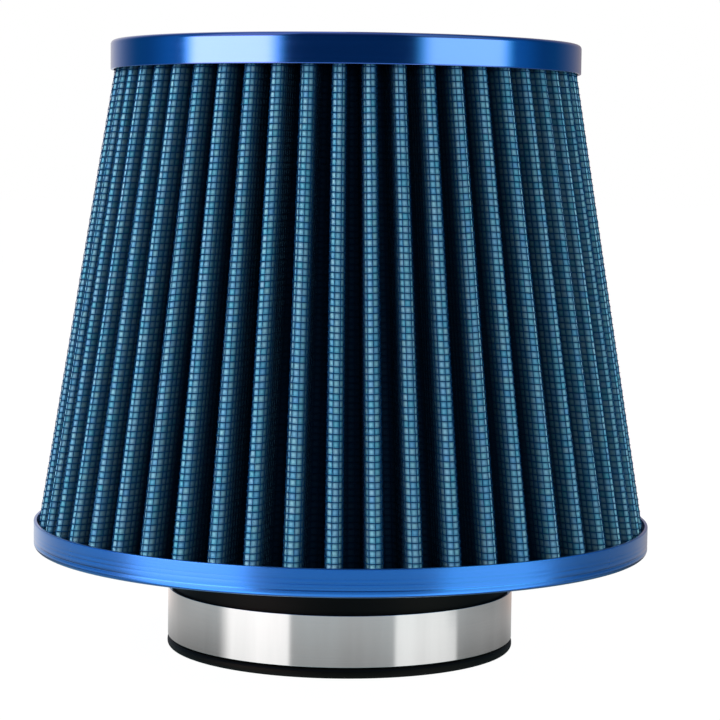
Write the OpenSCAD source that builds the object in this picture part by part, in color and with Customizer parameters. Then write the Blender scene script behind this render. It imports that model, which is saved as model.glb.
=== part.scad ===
// Conical clamp-on air filter: pleated cotton between wire screens, potted into an
// aluminium cap and pan, on a rubber neck that a worm-drive hose clamp closes on a pipe.
// Millimetres, +Z up, origin at the centre of the neck's open end, front towards -Y.

/* [Cap and pan] */
// Outside diameter of the base pan
base_d = 150; // [136:1:180]
// Outside diameter of the top cap
top_d = 113.6; // [104:0.2:130]
// Height from the underside of the pan to the top of the cap
body_h = 122.2; // [80:0.2:180]
// Thickness of the drawn sheet
sheet_t = 0.7; // [0.5:0.1:1]
// Outside radius of the bends in the sheet
bend_r = 1; // [0.9:0.1:2]
// Radius of the rims' outer edges
rim_r = 0.4; // [0.2:0.1:0.5]
// Length of rim that laps over the pleats at the cap
cap_lap = 2.4; // [1:0.1:6]
// Length of rim that laps over the pleats at the pan
pan_lap = 2.2; // [1:0.1:6]
// Width of the flat land round the top of the cap
land_w = 6; // [4:0.5:10]
// Depth of the pressed panel inside the land
panel_drop = 2; // [1:0.1:4]
// Height of the crease in the pan's rim above its underside
crease_z = 1.5; // [1.3:0.1:3]
// Depth of the crease
crease_depth = 0.25; // [0.1:0.05:0.35]

/* [Pleats] */
// Number of pleats
pleat_n = 52; // [40:1:58]
// Depth of a pleat, from outer fold to inner fold
pleat_depth = 13; // [8:0.5:16]
// Radius left open inside the outer folds at the pan
fold_bore = 0.55; // [0.2:0.05:0.8]
// Radius left open inside the outer folds at the cap
fold_bore_top = 0.15; // [0.1:0.05:0.6]
// Turn of the first pleat from the front
pleat_turn = -1.4; // [-3.4:0.05:3.4]
// Turn of the pack between the cap and the pan
pleat_twist = 0.45; // [0:0.05:1.5]
// Turn of the folds at both sides, which lie closer together at the back
pleat_spread = 1.25; // [0:0.05:2]
// Thickness of each wire screen
screen_t = 0.3; // [0.2:0.05:0.4]
// Thickness of the cotton gauze
gauze_t = 0.8; // [0.4:0.05:1]
// Clearance between the layers
layer_gap = 0.05; // [0.03:0.01:0.1]
// Clearance between the folds and the rims
fold_gap = 0.15; // [0.1:0.05:0.6]

/* [Sealant] */
// Thickness of the sealant under the cap's panel
cap_seal_t = 1.9; // [1:0.1:4]
// Thickness of the sealant over the neck's flange
flange_seal_t = 1.6; // [1:0.1:4]
// Reach of the upper sealant inside the pleats
seal_reach = 2.5; // [1:0.5:6]
// Clearance of the sealant inside the sheet
seal_fit = 0.05; // [0.02:0.01:0.1]

/* [Neck] */
// Bore of the neck
neck_bore = 76; // [60:1:84]
// Wall of the neck
neck_wall = 3.3; // [2.5:0.1:5]
// Length of the neck below the pan
neck_len = 24.8; // [22:0.2:50]
// Thickness of the flange inside the pan
flange_t = 2; // [1.2:0.1:4]
// Width of the flange outside the neck
flange_w = 5; // [4:0.5:14]
// Thickness of the collar under the pan
collar_t = 1.6; // [1:0.1:3]
// Width of the collar
collar_w = 4; // [3:0.5:8]
// Radius of the fillet under the collar
collar_fillet = 1.5; // [0.5:0.1:2.5]
// Height of the lip
lip_h = 2.4; // [1.6:0.1:4]
// How far the lip stands out from the neck
lip_proud = 1.1; // [0.8:0.1:1.4]
// Radius of the lip's edges
lip_edge_r = 1; // [0.3:0.1:1.2]
// Chamfer at the mouth of the bore
mouth_chamfer = 0.8; // [0.4:0.1:1.5]
// Radius at the inner end of the bore
bell_r = 1.5; // [0.5:0.1:3]

/* [Hose clamp] */
// Width of the band
band_w = 12; // [10:0.5:14]
// Thickness of the band
band_t = 0.65; // [0.5:0.05:0.9]
// Clearance of the loose band on the neck
band_gap = 0.35; // [0.3:0.05:0.6]
// Clearance of the band above the lip
lip_gap = 0.3; // [0.2:0.1:2]
// Clearance between the strips under the screw
strip_gap = 0.05; // [0.03:0.01:0.1]
// Thickness of the saddle
saddle_t = 0.6; // [0.4:0.05:1]
// Angle that the tail runs past the screw
tail_deg = 45; // [30:1:80]
// Length of the corner cuts at the tail's end
tail_corner = 2.4; // [1:0.1:4]
// Spacing of the slots in the tail
slot_pitch = 2.2; // [2:0.1:3]
// Width of a slot
slot_w = 1.1; // [0.8:0.1:1.3]
// Length of a slot
slot_l = 7.5; // [5:0.5:8]
// Slant of the slots
slot_slant = 5; // [0:0.5:8]
// Length of the housing
housing_l = 13; // [10:0.5:16]
// Wall of the housing
housing_wall = 0.9; // [0.7:0.1:1.2]
// Clearance at the sides of the band in the housing
side_gap = 0.2; // [0.1:0.05:0.4]
// Diameter of the worm
worm_d = 8; // [7:0.5:9]
// Clearance round the worm
worm_gap = 0.3; // [0.2:0.05:0.5]
// Diameter of the screw's journals
journal_d = 5; // [4:0.1:5.5]
// Radial clearance of the journals
journal_fit = 0.05; // [0.02:0.01:0.1]
// End play of the screw
end_play = 0.2; // [0.1:0.05:0.4]
// Width across the flats of the screw's head
hex_af = 7; // [6:0.5:8]
// Height of the screw's head
hex_h = 4.5; // [3:0.5:6]
// Thickness of the washer face under the head
washer_t = 1.2; // [0.8:0.1:2]
// Width of the screwdriver slot
driver_w = 1.2; // [0.8:0.1:1.6]
// Depth of the screwdriver slot
driver_depth = 2; // [1:0.1:2.5]

/* [Hidden] */
$fn = 96;
arc_steps = 5;
tip_steps = 4;
valley_steps = 3;
past = 1;
front = -90;
back = 90;

// Heights, from the neck's open end upwards
pan_z = neck_len;
floor_z = pan_z + sheet_t;
flange_z = floor_z + flange_t;
pleat_z0 = flange_z + flange_seal_t;
pan_rim_z = pleat_z0 + pan_lap;
cap_z = pan_z + body_h;
panel_z = cap_z - panel_drop;
pleat_z1 = panel_z - sheet_t - cap_seal_t;
cap_rim_z = pleat_z1 - cap_lap;

// Radii of the sheet pieces and of the folds that fit inside them
base_r = base_d / 2;
top_r = top_d / 2;
pan_in_r = base_r - sheet_t;
cap_in_r = top_r - sheet_t;
fold_r0 = pan_in_r - fold_gap;
fold_rim_r = cap_in_r - fold_gap;
fold_r1 = fold_rim_r - (fold_r0 - fold_rim_r) * cap_lap / (cap_rim_z - pleat_z0);

// The pleated stack, measured from its middle surface
stack_t = 2 * screen_t + gauze_t + 2 * layer_gap;
half_pitch = 180 / pleat_n;
// Uneven spacing of the folds, as waves: their number round, turn and phase
fold_waves = [[9, 0.12, 23], [15, 0.1, 115], [23, 0.08, 235]];

// Rubber neck
bore_r = neck_bore / 2;
neck_r = bore_r + neck_wall;
lip_r = neck_r + lip_proud;
edge_flat = 0.01;
lip_round = min(lip_edge_r, lip_h / 2 - edge_flat, lip_proud - edge_flat);
collar_z = pan_z - collar_t;
flange_r = neck_r + flange_w;
flange_hold = flange_w / 2;

// Hose clamp, from the neck outwards
band_r = neck_r + band_gap;
band_out_r = band_r + band_t;
band_z = lip_h + lip_gap;
band_mid_z = band_z + band_w / 2;
saddle_r = band_out_r + strip_gap;
tail_r = saddle_r + saddle_t + strip_gap;
tail_out_r = tail_r + band_t;
tunnel_r = tail_out_r + worm_gap;
worm_y = tunnel_r + worm_d / 2;
worm_space_r = worm_d / 2 + worm_gap;
housing_r = worm_space_r + housing_wall;
housing_in_w = band_w + 2 * side_gap;
housing_w = housing_in_w + 2 * housing_wall;
housing_foot_r = max(lip_r, band_out_r) + worm_gap;
housing_deg = asin(housing_l / 2 / band_out_r);
saddle_past_deg = 1.5;
saddle_deg = housing_deg + saddle_past_deg;
fixed_past_deg = 4;
fixed_deg = housing_deg + fixed_past_deg;
ramp_past_deg = 3;
ramp_end_deg = fixed_deg + ramp_past_deg;
ramp_deg = 15;
ramp_steps = 10;
ramp_full = 0.06;
ramp_weld_deg = 1;
slot_step = slot_pitch / tail_r * 180 / PI;
slot_end_deg = 5;

function polar(r, a) = [r * cos(a), r * sin(a)];

// Points on an arc about c, from angle a0 to a1
function arc(c, r, a0, a1, steps = arc_steps) =
    [for (i = [0:steps]) c + polar(r, a0 + (a1 - a0) * i / steps)];

// One side of the cap's sheet, out by o from its middle, from the top corner to the panel's centre.
// The land drops to the panel by a 45 degree wall between two bends.
function cap_side(o) =
    let (
        mid = bend_r - sheet_t / 2,
        land_end = [top_r - land_w, cap_z - bend_r],
        panel_bend_z = panel_z + bend_r - sheet_t,
        fall = land_end.y - panel_bend_z,
        panel_end = [land_end.x - fall - 4 * mid * sin(45), panel_bend_z]
    )
    concat(
        arc([top_r - bend_r, cap_z - bend_r], mid + o, 0, 90),
        arc(land_end, mid + o, 90, 135),
        arc(panel_end, mid - o, -45, -90),
        [[0, panel_z - sheet_t / 2 + o]]
    );

function reversed(points) = [for (i = [len(points) - 1:-1:0]) points[i]];

// One surface of the pleated stack as a closed loop, off by d from the middle surface.
// The flanks of a pleat are parallel, and each inner fold is an arc tangent to two flanks.
function pleat_loop(r, bore, d, twist) =
    let (
        mid_r = bore + stack_t / 2,
        tip_c = r - bore - stack_t,
        valley_c = (r - pleat_depth + stack_t / 2 - mid_r) / (1 - sin(half_pitch)),
        valley_r = valley_c * sin(half_pitch) - mid_r
    )
    [
        for (i = [0:pleat_n - 1])
            let (a = front + pleat_turn + 2 * half_pitch * i)
            each concat(
                [for (p = arc([tip_c, 0], mid_r + d, -90, 90, tip_steps)) gathered(p, a, twist)],
                [
                    for (p = arc([valley_c, 0], valley_r - d, -90 - half_pitch, half_pitch - 270,
                        valley_steps))
                        gathered(p, a + half_pitch, twist)
                ]
            )
    ];

// A point of the pleat at angle a, shifted round as the folds are unevenly spaced
function gathered(p, a, twist) =
    let (
        q = turned(p, a),
        b = atan2(q.y, q.x) - front,
        waves = [for (w = fold_waves) w.y * sin(w.x * b + w.z)]
    )
    turned(q, twist + pleat_spread * sin(b) + waves * [for (w = waves) 1]);

function turned(p, a) = [p.x * cos(a) - p.y * sin(a), p.x * sin(a) + p.y * cos(a)];

function raised(points, z) = [for (p = points) [p.x, p.y, z]];

// A pleated sheet lofted from its lower to its upper outline, between offsets d0 and d1
module pleated_sheet(d0, d1) {
    lower_out = raised(pleat_loop(fold_r0, fold_bore, d1, pleat_twist / 2), pleat_z0);
    upper_out = raised(pleat_loop(fold_r1, fold_bore_top, d1, -pleat_twist / 2), pleat_z1);
    lower_in = raised(pleat_loop(fold_r0, fold_bore, d0, pleat_twist / 2), pleat_z0);
    upper_in = raised(pleat_loop(fold_r1, fold_bore_top, d0, -pleat_twist / 2), pleat_z1);
    m = len(lower_out);
    polyhedron(
        points = concat(lower_out, upper_out, lower_in, upper_in),
        faces = [
            for (i = [0:m - 1])
                let (j = (i + 1) % m)
                each concat(
                    quad(i, m + i, m + j, j),
                    quad(2 * m + i, 2 * m + j, 3 * m + j, 3 * m + i),
                    quad(m + i, 3 * m + i, 3 * m + j, m + j),
                    quad(i, j, 2 * m + j, 2 * m + i)
                )
        ]
    );
}

function quad(a, b, c, d) = [[a, b, c], [a, c, d]];

module top_cap() {
    color("royalblue")
        rotate_extrude()
            polygon(concat(
                [[cap_in_r, cap_rim_z]],
                arc([top_r - rim_r, cap_rim_z + rim_r], rim_r, -90, 0),
                cap_side(sheet_t / 2),
                reversed(cap_side(-sheet_t / 2))
            ));
}

module top_sealant() {
    under = [for (p = cap_side(-sheet_t / 2 - seal_fit)) if (p.y > pleat_z1) p];
    inner_r = fold_r1 - pleat_depth - seal_reach;
    color("dimgray")
        rotate_extrude()
            polygon(concat(
                [[inner_r, pleat_z1], [cap_in_r - seal_fit, pleat_z1]],
                [for (p = under) if (p.x > inner_r) p],
                [[inner_r, panel_z - sheet_t - seal_fit]]
            ));
}

module outer_screen() {
    color("midnightblue")
        pleated_sheet(stack_t / 2 - screen_t, stack_t / 2);
}

module cotton_gauze() {
    color("cadetblue")
        pleated_sheet(-gauze_t / 2, gauze_t / 2);
}

module inner_screen() {
    color("slategray")
        pleated_sheet(-stack_t / 2, screen_t - stack_t / 2);
}

module base_pan() {
    corner = [base_r - bend_r, pan_z + bend_r];
    crease = pan_z + crease_z;
    color("royalblue")
        rotate_extrude()
            polygon(concat(
                [[neck_r + seal_fit, pan_z]],
                arc(corner, bend_r, -90, 0),
                [
                    [base_r, crease - crease_depth],
                    [base_r - crease_depth, crease],
                    [base_r, crease + crease_depth]
                ],
                arc([base_r - rim_r, pan_rim_z - rim_r], rim_r, 0, 90),
                [[pan_in_r, pan_rim_z]],
                arc(corner, bend_r - sheet_t, 0, -90),
                [[neck_r + seal_fit, floor_z]]
            ));
}

module base_sealant() {
    corner = [base_r - bend_r, pan_z + bend_r];
    color("dimgray")
        rotate_extrude()
            polygon(concat(
                [[flange_r + seal_fit, floor_z]],
                arc(corner, bend_r - sheet_t - seal_fit, -90, 0),
                [
                    [pan_in_r - seal_fit, pleat_z0],
                    [flange_r - flange_hold, pleat_z0],
                    [flange_r - flange_hold, flange_z],
                    [flange_r + seal_fit, flange_z]
                ]
            ));
}

module neck_boot() {
    color([0.08, 0.08, 0.08])
        rotate_extrude()
            polygon(concat(
                [[bore_r, mouth_chamfer], [bore_r + mouth_chamfer, 0]],
                arc([lip_r - lip_round, lip_round], lip_round, -90, 0),
                arc([lip_r - lip_round, lip_h - lip_round], lip_round, 0, 90),
                [[neck_r, lip_h]],
                arc([neck_r + collar_fillet, collar_z - collar_fillet], collar_fillet, 180, 90),
                [
                    [neck_r + collar_w, collar_z],
                    [neck_r + collar_w, pan_z],
                    [neck_r, pan_z],
                    [neck_r, floor_z],
                    [flange_r, floor_z],
                    [flange_r, flange_z]
                ],
                arc([bore_r + bell_r, flange_z - bell_r], bell_r, 90, 180)
            ));
}

// A curved strip about the neck's axis, from angle a0 to a1 counted from the back
module strip(r, t, w, a0, a1) {
    rotate([0, 0, back + a0])
        translate([0, 0, band_mid_z - w / 2])
            rotate_extrude(angle = a1 - a0)
                translate([r, 0])
                    square([t, w]);
}

// The stretch of band that climbs from the neck over the fixed end, easing in and out.
// It is a little fuller than the strips, whose ends run into it.
module band_ramp() {
    climb = [
        for (i = [0:ramp_steps])
            let (u = i / ramp_steps)
            [back - ramp_end_deg - ramp_deg * (1 - u), band_r + (tail_r - band_r) * u * u * (3 - 2 * u)]
    ];
    translate([0, 0, band_z - ramp_full])
        linear_extrude(band_w + 2 * ramp_full)
            polygon(concat(
                [for (p = climb) polar(p.y - ramp_full, p.x)],
                reversed([for (p = climb) polar(p.y + band_t + ramp_full, p.x)])
            ));
}

module clamp_band() {
    last_slot = tail_deg - slot_end_deg;
    color("silver")
        difference() {
            union() {
                strip(band_r, band_t, band_w, -fixed_deg, 360 - ramp_end_deg - ramp_deg + ramp_weld_deg);
                band_ramp();
                strip(tail_r, band_t, band_w, -ramp_end_deg - ramp_weld_deg, tail_deg);
            }
            for (a = [-housing_deg:slot_step:last_slot])
                on_tail(a)
                    rotate([slot_slant, 0, 0])
                        cube([band_t + saddle_t, slot_w, slot_l], center = true);
            for (side = [-1, 1])
                on_tail(tail_deg)
                    translate([0, 0, side * band_w / 2])
                        rotate([45, 0, 0])
                            cube([band_t + saddle_t, tail_corner, tail_corner], center = true);
        }
}

// A place on the tail's middle, with +X outwards and +Y along the tail
module on_tail(a) {
    rotate([0, 0, back + a])
        translate([tail_r + band_t / 2, 0, band_mid_z])
            children();
}

module clamp_saddle() {
    color("silver")
        strip(saddle_r, saddle_t, band_w, -saddle_deg, saddle_deg);
}

// A round bar along the screw's axis, from x0 to x1
module screw_bar(d, x0, x1) {
    translate([x0, worm_y, band_mid_z])
        rotate([0, 90, 0])
            cylinder(d = d, h = x1 - x0);
}

module clamp_housing() {
    half = housing_l / 2;
    shoulder_y = tunnel_r + housing_wall;
    color("gainsboro")
        difference() {
            translate([-half, 0, band_mid_z])
                rotate([90, 0, 90])
                    linear_extrude(housing_l) {
                        translate([worm_y, 0])
                            circle(r = housing_r);
                        polygon([
                            [housing_foot_r - past, -housing_w / 2],
                            [shoulder_y, -housing_w / 2],
                            [worm_y, -housing_r],
                            [worm_y, housing_r],
                            [shoulder_y, housing_w / 2],
                            [housing_foot_r - past, housing_w / 2]
                        ]);
                    }
            translate([0, 0, band_mid_z]) {
                cylinder(r = housing_foot_r, h = housing_w + 2 * past, center = true);
                cylinder(r = tunnel_r, h = housing_in_w, center = true);
            }
            screw_bar(2 * worm_space_r, housing_wall - half, half - housing_wall);
            screw_bar(journal_d + 2 * journal_fit, -half - past, half + past);
        }
}

module clamp_screw() {
    half = housing_l / 2;
    worm_half = half - housing_wall - end_play;
    washer_x = half + end_play;
    head_x = washer_x + washer_t;
    hex_r = hex_af / 2 / cos(30);
    color("lightgray")
        difference() {
            union() {
                screw_bar(worm_d, -worm_half, worm_half);
                screw_bar(journal_d, -half - end_play, washer_x + washer_t / 2);
                screw_bar(2 * hex_r + washer_t / 2, washer_x, head_x);
                translate([head_x - washer_t / 2, worm_y, band_mid_z])
                    rotate([0, 90, 0])
                        cylinder(r = hex_r, h = hex_h + washer_t / 2, $fn = 6);
            }
            translate([head_x + hex_h, worm_y, band_mid_z])
                cube([2 * driver_depth, 4 * hex_r, driver_w], center = true);
        }
}

top_cap();
top_sealant();
outer_screen();
cotton_gauze();
inner_screen();
base_pan();
base_sealant();
neck_boot();
clamp_band();
clamp_saddle();
clamp_housing();
clamp_screw();
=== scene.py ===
import math

import bmesh
import bpy
import numpy as np
from mathutils import Matrix, Vector


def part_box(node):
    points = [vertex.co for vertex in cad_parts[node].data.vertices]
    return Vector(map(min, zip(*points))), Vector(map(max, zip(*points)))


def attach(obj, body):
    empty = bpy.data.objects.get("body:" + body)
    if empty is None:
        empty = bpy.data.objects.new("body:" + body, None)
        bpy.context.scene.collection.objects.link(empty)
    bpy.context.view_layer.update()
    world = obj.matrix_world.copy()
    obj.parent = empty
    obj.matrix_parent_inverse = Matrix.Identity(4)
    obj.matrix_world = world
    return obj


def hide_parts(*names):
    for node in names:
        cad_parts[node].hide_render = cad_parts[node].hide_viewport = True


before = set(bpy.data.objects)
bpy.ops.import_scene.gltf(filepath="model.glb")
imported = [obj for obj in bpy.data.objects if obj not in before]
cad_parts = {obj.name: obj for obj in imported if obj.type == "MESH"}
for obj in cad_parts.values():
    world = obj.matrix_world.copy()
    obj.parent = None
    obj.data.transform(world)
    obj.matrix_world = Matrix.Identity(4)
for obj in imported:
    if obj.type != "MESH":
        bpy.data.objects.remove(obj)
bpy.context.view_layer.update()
mm = 0.001
print("frame loaded:", len(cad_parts), "nodes")


def linked(name, data):
    thing = bpy.data.objects.new(name, data)
    bpy.context.scene.collection.objects.link(thing)
    return thing


def newMesh(name, verts, faces, material):
    mesh = bpy.data.meshes.new(name)
    mesh.from_pydata(verts, [], faces)
    mesh.materials.append(material)
    return mesh


def recoat(mesh, material):
    mesh.materials.clear()
    mesh.materials.append(material)


# node trees, for shaders and for geometry

class Signal:  # one output of a node, on which sums are written as Python
    def __init__(self, flow, socket):
        self.flow = flow
        self.socket = socket

    def sum(self, operation, *values):
        return self.flow.add("ShaderNodeMath", dict(enumerate(values)), operation=operation)

    def also(self, name):  # another output of the same node
        return Signal(self.flow, pickSocket(self.socket.node.outputs, name))

    def __abs__(self):
        return self.sum("ABSOLUTE", self)


def setOperator(name, operation):  # with a signal on its left or on its right
    setattr(Signal, f"__{name}__", lambda self, other: self.sum(operation, self, other))
    setattr(Signal, f"__r{name}__", lambda self, other: self.sum(operation, other, self))


operators = {"add": "ADD", "sub": "SUBTRACT", "mul": "MULTIPLY", "truediv": "DIVIDE", "mod": "FLOORED_MODULO"}
for operatorName, operatorNode in operators.items():
    setOperator(operatorName, operatorNode)


class Flow:  # a node tree that nodes are added to
    def __init__(self, tree):
        self.tree = tree

    def add(self, kind, sockets=None, out=0, **settings):
        node = self.tree.nodes.new(kind)
        for name, value in settings.items():
            if name == "stops":
                setStops(node.color_ramp, value)
            else:
                setattr(node, name, value)
        for key, value in (sockets or {}).items():
            self.feed(node, key, value)
        return Signal(self, pickSocket(node.outputs, out)) if node.outputs else node

    def feed(self, node, key, value):
        socket = pickSocket(node.inputs, key)
        if isinstance(value, Signal):
            self.tree.links.new(value.socket, socket)
        else:
            socket.default_value = value

    def split(self, vector):
        parts = self.add("ShaderNodeSeparateXYZ", {0: vector})
        return parts, parts.also("Y"), parts.also("Z")

    def join(self, x, y, z):
        return self.add("ShaderNodeCombineXYZ", {0: x, 1: y, 2: z})

    def ease(self, value, low, high, start=0.0, end=1.0):  # a smooth step
        limits = {"From Min": low, "From Max": high, "To Min": start, "To Max": end}
        return self.add("ShaderNodeMapRange", {"Value": value, **limits}, interpolation_type="SMOOTHSTEP")

    def blendColours(self, share, first, second):
        sockets = {"Factor": share, "A": first, "B": second}
        return self.add("ShaderNodeMix", sockets, "Result", data_type="RGBA")

    def noise(self, vector, scale, detail=2.0, roughness=0.5):
        sockets = {"Vector": vector, "Scale": scale, "Detail": detail, "Roughness": roughness}
        return self.add("ShaderNodeTexNoise", sockets)

    def bump(self, height, strength, distance):
        return self.add("ShaderNodeBump", {"Height": height, "Strength": strength, "Distance": distance})


def pickSocket(sockets, key):
    if isinstance(key, int):
        return sockets[key]
    return next(s for s in sockets if s.enabled and key in (s.name, s.identifier))


def scaled(flow, vector, share):
    return flow.add("ShaderNodeVectorMath", {0: vector, "Scale": share}, operation="SCALE")


def added(flow, first, second):
    return flow.add("ShaderNodeVectorMath", {0: first, 1: second}, operation="ADD")


def setStops(ramp, stops):
    while len(ramp.elements) < len(stops):
        ramp.elements.new(1.0)
    for element, (place, colour) in zip(ramp.elements, stops):
        element.position = place
        element.color = colour


def makeFinish(name, constants, varying):
    material = bpy.data.materials.new(name)
    material.use_nodes = True
    flow = Flow(material.node_tree)
    shader = material.node_tree.nodes["Principled BSDF"]
    for key, value in constants.items():
        shader.inputs[key].default_value = value
    for key, signal in varying(flow).items():
        flow.feed(shader, key, signal)
    return material


# camera, as the photograph was taken

cameraPlace = {
    "away": 585.8 * mm,  # from the filter's axis, towards -Y
    "height": 118.95 * mm,
    "tilt": 4.762,  # degrees below the horizon
    "roll": 0.662,
    "lens": 120.0,
    "sensor": 36.0,
    "shift": 0.0242,
    "clip": (0.01, 100.0),
}


def placeCamera():
    data = bpy.data.cameras.new("photoCamera")
    data.sensor_width = cameraPlace["sensor"]
    data.lens = cameraPlace["lens"]
    data.shift_x = cameraPlace["shift"]
    data.clip_start, data.clip_end = cameraPlace["clip"]
    camera = linked("photoCamera", data)
    look = Matrix.Rotation(math.radians(90 - cameraPlace["tilt"]), 4, "X")
    spin = Matrix.Rotation(math.radians(cameraPlace["roll"]), 4, "Z")
    stand = Matrix.Translation((0, -cameraPlace["away"], cameraPlace["height"]))
    camera.matrix_world = stand @ look @ spin
    bpy.context.scene.camera = camera


placeCamera()
bpy.context.scene.view_settings.view_transform = "Standard"
print("camera placed")


# studio: white floor and backdrop, a tall soft box on each side, dark behind the camera

studio = {
    "leftBox": {
        "span": (-80.8, -32.8),  # degrees round from the camera, to the right
        "soft": ((6.5, 5.5), (1.6, 5.5)),  # of both edges, each below the horizon and above it
        "low": (1.0, 1.06),  # level on the clamp and on the pan
        "panTint": (1.75, 0.95, 0.84),
        "high": (3.9, 3.55, 3.5),  # light above the horizon
        "onPan": (-1.0, 0.0),  # shift of both edges as the pan shows them
        "onCloth": 0.40,  # share that lights the pleats
    },
    "rightBox": {
        "span": (36.8, 83.6),
        "soft": ((1.6, 5.5), (1.6, 5.5)),
        "low": (0.76, 0.47),
        "panTint": (1.03, 0.95, 0.62),
        "high": (1.70, 2.30, 2.05),
        "onPan": (0.0, -10.0),
        "onCloth": 0.13,
    },
    "boxTop": (0.95, 0.85),  # where a box ends; this and all heights here are sines
    "fadeUp": (0.10, 0.27),  # where its reflection fades
    "topShine": 0.15,  # and what is left of it above
    "clampHeights": (-0.19, -0.178),  # below the first the clamp is seen, above the second the pan
    "tintHeights": (-0.17, -0.15),  # where the tint of a box on the pan sets in
    "softHeights": (-0.15, 0.0),  # where the edges of a box change
    "horizon": (-0.07, 0.03),  # where its upper light takes over
    "aboveTable": (-0.1, 0.0),
    "heights": [  # height, and the light from there
        (-1.0, (0.60, 0.74, 0.78)),
        (-0.45, (0.36, 0.72, 0.84)),
        (-0.28, (0.26, 0.29, 0.30)),
        (-0.214, (0.27, 0.27, 0.27)),
        (-0.186, (0.82, 0.82, 0.82)),
        (-0.162, (0.52, 0.62, 0.66)),
        (-0.135, (0.10, 0.53, 0.72)),
        (-0.10, (0.04, 0.36, 0.58)),
        (-0.03, (0.005, 0.06, 0.10)),
        (0.3, (0.004, 0.045, 0.085)),
        (0.8, (0.05, 0.08, 0.12)),
        (1.0, (0.30, 0.32, 0.36)),
    ],
    "sides": (0.006, 0.085, 0.15),  # between a box and the backdrop
    "sidesTurn": (80.0, 95.0),
    "halo": (0.01, 0.16, 0.24),  # just outside a box
    "haloTurn": (76.0, 86.0, 112.0),
    "leftBackdrop": (0.54, 0.42, 0.38),
    "rightBackdrop": (0.27, 0.14, 0.09),
    "backdropTurn": (118.0, 168.0),
    "panShade": ((-100.0, -140.0, 0.35), (68.0, 108.0, 0.55)),  # where the pan misses light, and its share
    "endShade": (105.0, 145.0, 0.22),  # the same at the right end of the clamp
    "clothShade": (25.0, 75.0, 0.85),  # and at the right of the pleats
    "sideTurn": (70.0, 95.0),
    "sideHeights": (-0.188, -0.212),  # upper and lower edge of the clamp
    "sideShade": (0.17, 0.57),  # share that both its sides miss there
    "floorSize": 6.0,
    "floorLit": 0.04,
    "floorGlow": 0.99,
    "floorFill": (0.07, 0.18, 0.25),  # what the table sends back to the pleats
}
lamps = {
    "topLamp": {
        "watts": 1.2, "size": 0.9, "colour": (0.4, 0.8, 0.95),
        "place": (-0.32, -0.05, 0.85), "aim": (0, 0, 0),
    },
    "frontLamp": {
        "watts": 0.96, "size": 0.3, "colour": (1, 1, 1),
        "place": (0.13, -0.74, 0.21), "aim": (0.03, 0, 0.09),
    },
    "keyLamp": {
        "watts": 1.9, "size": 0.2, "colour": (1, 1, 1),
        "place": (-0.44, -0.1, 0.56), "aim": (-0.05, 0, 0.11),
    },
    "rimLamp": {
        "watts": 1.35, "size": 0.2, "colour": (1, 0.95, 0.9),
        "place": (0.55, 0.12, 0.21), "aim": (0.05, 0, 0.1),
    },
}


def makeWorld():
    world = bpy.data.worlds.new("studio")
    bpy.context.scene.world = world
    world.use_nodes = True
    flow = Flow(world.node_tree)
    x, y, z = flow.split(flow.add("ShaderNodeTexCoord", out="Generated"))
    around = x.sum("ARCTAN2", x, 0 - y) * (180 / math.pi)
    ray = flow.add("ShaderNodeLightPath", out="Is Camera Ray")
    diffuse = ray.also("Is Diffuse Ray")
    high = flow.ease(z, *studio["horizon"])
    overClamp = flow.ease(z, *studio["clampHeights"])
    shine = flow.ease(z, *studio["fadeUp"], 1.0, studio["topShine"])
    onPan = overClamp * (1 - high)
    tinted = flow.ease(z, *studio["tintHeights"]) * (1 - high)

    def box(shape):
        edges = []
        for place, soft, shift in zip(shape["span"], shape["soft"], shape["onPan"]):
            width = flow.ease(z, *studio["softHeights"], *soft)
            place = place + onPan * shift
            edges.append(flow.ease(around, place - width, place + width))
        inside = (edges[0] - edges[1]) * flow.ease(abs(z), *studio["boxTop"])
        level = shape["low"][0] + overClamp * (shape["low"][1] - shape["low"][0])
        seen = inside * (diffuse * shape["onCloth"] + (1 - diffuse) * shine)
        red, green, blue = (seen * (level + high * (share - level)) * (1 + tinted * (tint - 1))
                            for share, tint in zip(shape["high"], shape["panTint"]))
        return flow.join(red * (1 - high * (1 - inside)), green, blue)

    def backdrop(colour, sign):
        return scaled(flow, colour, flow.ease(around * sign, *studio["backdropTurn"]) * overClamp)

    def missing(start, end, share):
        return flow.ease(around, start, end, 0.0, share)

    boxes = added(flow, box(studio["leftBox"]), box(studio["rightBox"]))
    white = added(flow, backdrop(studio["leftBackdrop"], -1.0), backdrop(studio["rightBackdrop"], 1.0))
    stops = [((height + 1) / 2, colour + (1,)) for height, colour in studio["heights"]]
    room = flow.add("ShaderNodeValToRGB", {0: z * 0.5 + 0.5}, stops=stops)
    leftDim, rightDim = (missing(*shade) for shade in studio["panShade"])
    endDim = missing(*studio["endShade"]) * (1 - overClamp)
    aside = abs(around)
    sideDim = flow.ease(aside, *studio["sideTurn"]) * (1 - overClamp)
    sideDim = sideDim * flow.ease(z, *studio["sideHeights"], *studio["sideShade"])
    room = scaled(flow, room, 1 - (leftDim + rightDim) * overClamp - sideDim - endDim)
    above = flow.ease(z, *studio["aboveTable"])
    room = added(flow, room, scaled(flow, studio["sides"], flow.ease(aside, *studio["sidesTurn"]) * above))
    haloStart, haloPeak, haloEnd = studio["haloTurn"]
    halo = flow.ease(aside, haloStart, haloPeak) * flow.ease(aside, haloEnd, haloPeak)
    room = added(flow, room, scaled(flow, studio["halo"], halo * above))
    room = scaled(flow, room, 1 - diffuse * missing(*studio["clothShade"]))
    light = added(flow, added(flow, room, boxes), white)
    seen = ray.sum("MAXIMUM", ray, ray.also("Is Transmission Ray"))
    background = world.node_tree.nodes["Background"]
    flow.feed(background, "Color", flow.blendColours(seen, light, (1, 1, 1, 1)))  # the camera sees white
    background.inputs["Strength"].default_value = 1.0


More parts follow.
